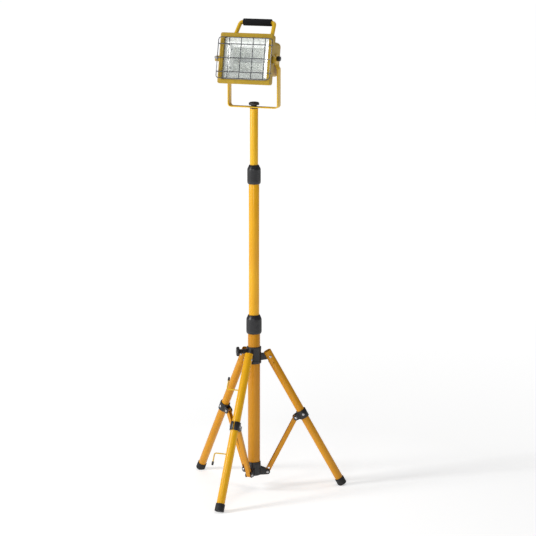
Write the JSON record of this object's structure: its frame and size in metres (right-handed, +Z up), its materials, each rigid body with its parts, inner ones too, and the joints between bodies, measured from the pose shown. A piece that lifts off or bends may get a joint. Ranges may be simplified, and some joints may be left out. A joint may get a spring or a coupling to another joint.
{
  "type": "work light",
  "caption": "Tripod work light: square halogen floodlight with wire guard and carry handle, tilting in a yoke on a telescoping mast with folding braced legs.",
  "frame": {"origin": "on the floor, under the centre of the bounding box; the mast stands 77 mm behind it", "axes": "+Z up along the mast; -Y is the way the lamp and the front leg face; +X is the object's left as it faces you, where the tilt axis runs"},
  "size_m": [0.569, 0.497, 1.6247],
  "materials": {
    "mast_yellow": "gloss powder coat",
    "leg_yellow": "gloss powder coat",
    "head_yellow": "satin powder coat",
    "black_plastic": "moulded, slightly glossy",
    "black_rubber": "matte",
    "foam": "closed-cell foam, matte",
    "steel": "zinc plated",
    "chrome_wire": "bright plated wire",
    "reflector": "polished, fluted",
    "glass": "clear",
    "ceramic": "glazed ceramic"
  },
  "bodies": {
    "mast_base": {"lower_tube": "mast_yellow", "base_hub": "black_plastic", "base_rivet_front": "steel", "base_rivet_right": "steel", "base_rivet_left": "steel", "lower_collet": "black_plastic"},
    "tripod_head": {"tripod_head": "black_plastic"},
    "clamp_knob": {"clamp_knob": "black_plastic"},
    "leg_front": {"leg_front": "leg_yellow", "foot_front": "black_rubber", "leg_rivet_front": "steel", "leg_bracket_front": "black_plastic", "bracket_rivet_front": "steel", "brace_rivet_front": "steel", "cord_hook_upper": "leg_yellow", "cord_hook_lower": "leg_yellow", "hook_tip_upper": "black_rubber", "hook_tip_lower": "black_rubber"},
    "brace_front": {"brace_front": "leg_yellow"},
    "leg_right": {"leg_right": "leg_yellow", "foot_right": "black_rubber", "leg_rivet_right": "steel", "leg_bracket_right": "black_plastic", "bracket_rivet_right": "steel", "brace_rivet_right": "steel"},
    "brace_right": {"brace_right": "leg_yellow"},
    "leg_left": {"leg_left": "leg_yellow", "foot_left": "black_rubber", "leg_rivet_left": "steel", "leg_bracket_left": "black_plastic", "bracket_rivet_left": "steel", "brace_rivet_left": "steel"},
    "brace_left": {"brace_left": "leg_yellow"},
    "lower_lock_nut": {"lower_lock_nut": "black_plastic"},
    "mast_middle": {"middle_tube": "mast_yellow", "middle_guide_bush": "black_plastic", "upper_collet": "black_plastic"},
    "upper_lock_nut": {"upper_lock_nut": "black_plastic"},
    "mast_upper": {"upper_tube": "mast_yellow", "upper_guide_bush": "black_plastic", "mast_top_plug": "black_plastic"},
    "yoke": {"yoke": "leg_yellow"},
    "yoke_knob": {"yoke_knob": "black_plastic"},
    "lamp_head": {"rear_housing": "head_yellow", "handle": "leg_yellow", "handle_grip": "foam", "reflector": "reflector", "lamp": "glass", "lampholder_left": "ceramic", "lampholder_right": "ceramic", "terminal_box": "black_plastic", "cable_gland": "black_plastic", "hinge_pin": "steel"},
    "front_frame": {"front_frame": "head_yellow", "lens_glass": "glass", "lens_gasket": "black_rubber", "wire_guard": "chrome_wire"},
    "latch_screw": {"latch_screw": "steel"},
    "tilt_knob_left": {"tilt_knob_left": "black_plastic"},
    "tilt_knob_right": {"tilt_knob_right": "black_plastic"}
  },
  "joints": [
    {"name": "tripod_slide", "type": "slide", "parent": "mast_base", "child": "tripod_head", "axis": [0, 0, 1], "range_m": [0, 0.0417]},
    {"name": "clamp_knob_turn", "type": "hinge", "parent": "tripod_head", "child": "clamp_knob", "pos_m": [0, 0.07729, 0.489], "axis": [-0.866, -0.5, 0], "range_deg": [0, 720]},
    {"name": "leg_front_fold", "type": "hinge", "parent": "tripod_head", "child": "leg_front", "pos_m": [0, 0.02229, 0.47], "axis": [1, 0, 0], "range_deg": [0, 25]},
    {"name": "brace_front_fold", "type": "hinge", "parent": "leg_front", "child": "brace_front", "pos_m": [0, -0.06773, 0.24898], "axis": [1, 0, 0], "range_deg": [-52.93, 0]},
    {"name": "leg_right_fold", "type": "hinge", "parent": "tripod_head", "child": "leg_right", "pos_m": [0.04763, 0.10479, 0.47], "axis": [-0.5, 0.866, 0], "range_deg": [0, 25]},
    {"name": "brace_right_fold", "type": "hinge", "parent": "leg_right", "child": "brace_right", "pos_m": [0.1256, 0.1498, 0.24898], "axis": [-0.5, 0.866, 0], "range_deg": [-52.93, 0]},
    {"name": "leg_left_fold", "type": "hinge", "parent": "tripod_head", "child": "leg_left", "pos_m": [-0.04763, 0.10479, 0.47], "axis": [-0.5, -0.866, 0], "range_deg": [0, 25]},
    {"name": "brace_left_fold", "type": "hinge", "parent": "leg_left", "child": "brace_left", "pos_m": [-0.1256, 0.1498, 0.24898], "axis": [-0.5, -0.866, 0], "range_deg": [-52.93, 0]},
    {"name": "lower_lock_twist", "type": "hinge", "parent": "mast_base", "child": "lower_lock_nut", "pos_m": [0, 0.07729, 0.5845], "axis": [0, 0, 1], "range_deg": [0, 120]},
    {"name": "middle_slide", "type": "slide", "parent": "mast_base", "child": "mast_middle", "axis": [0, 0, 1], "range_m": [-0.43, 0.045]},
    {"name": "upper_lock_twist", "type": "hinge", "parent": "mast_middle", "child": "upper_lock_nut", "pos_m": [0, 0.07729, 1.1025], "axis": [0, 0, 1], "range_deg": [0, 120]},
    {"name": "upper_slide", "type": "slide", "parent": "mast_middle", "child": "mast_upper", "axis": [0, 0, 1], "range_m": [-0.188, 0.2]},
    {"name": "yoke_swivel", "type": "hinge", "parent": "mast_upper", "child": "yoke", "pos_m": [0, 0.07729, 1.3295], "axis": [0, 0, 1], "continuous": true},
    {"name": "yoke_knob_turn", "type": "hinge", "parent": "mast_upper", "child": "yoke_knob", "pos_m": [0, 0.07729, 1.339], "axis": [0, 0, 1], "range_deg": [0, 720]},
    {"name": "head_tilt", "type": "hinge", "parent": "yoke", "child": "lamp_head", "pos_m": [0, 0.07729, 1.4965], "axis": [-1, 0, 0], "range_deg": [-28, 68]},
    {"name": "tilt_knob_right_turn", "type": "hinge", "parent": "lamp_head", "child": "tilt_knob_right", "pos_m": [0.09, 0.07729, 1.4965], "axis": [1, 0, 0], "range_deg": [0, 720]},
    {"name": "tilt_knob_left_turn", "type": "hinge", "parent": "lamp_head", "child": "tilt_knob_left", "pos_m": [-0.09, 0.07729, 1.4965], "axis": [-1, 0, 0], "range_deg": [0, 720]},
    {"name": "front_frame_swing", "type": "hinge", "parent": "lamp_head", "child": "front_frame", "pos_m": [0.0981, 0.00701, 1.49917], "axis": [0, 0.2079, 0.9781], "range_deg": [0, 90]},
    {"name": "latch_screw_turn", "type": "hinge", "parent": "front_frame", "child": "latch_screw", "pos_m": [-0.1035, 0.00046, 1.50056], "axis": [0, 0.9781, -0.2079], "range_deg": [0, 1080]}
  ],
  "couplings": [
    {"joint": "leg_front_fold", "follows": "tripod_slide", "rad_per_m": 10.422},
    {"joint": "brace_front_fold", "follows": "tripod_slide", "rad_per_m": -22.088},
    {"joint": "leg_right_fold", "follows": "tripod_slide", "rad_per_m": 10.422},
    {"joint": "brace_right_fold", "follows": "tripod_slide", "rad_per_m": -22.088},
    {"joint": "leg_left_fold", "follows": "tripod_slide", "rad_per_m": 10.422},
    {"joint": "brace_left_fold", "follows": "tripod_slide", "rad_per_m": -22.088}
  ]
}
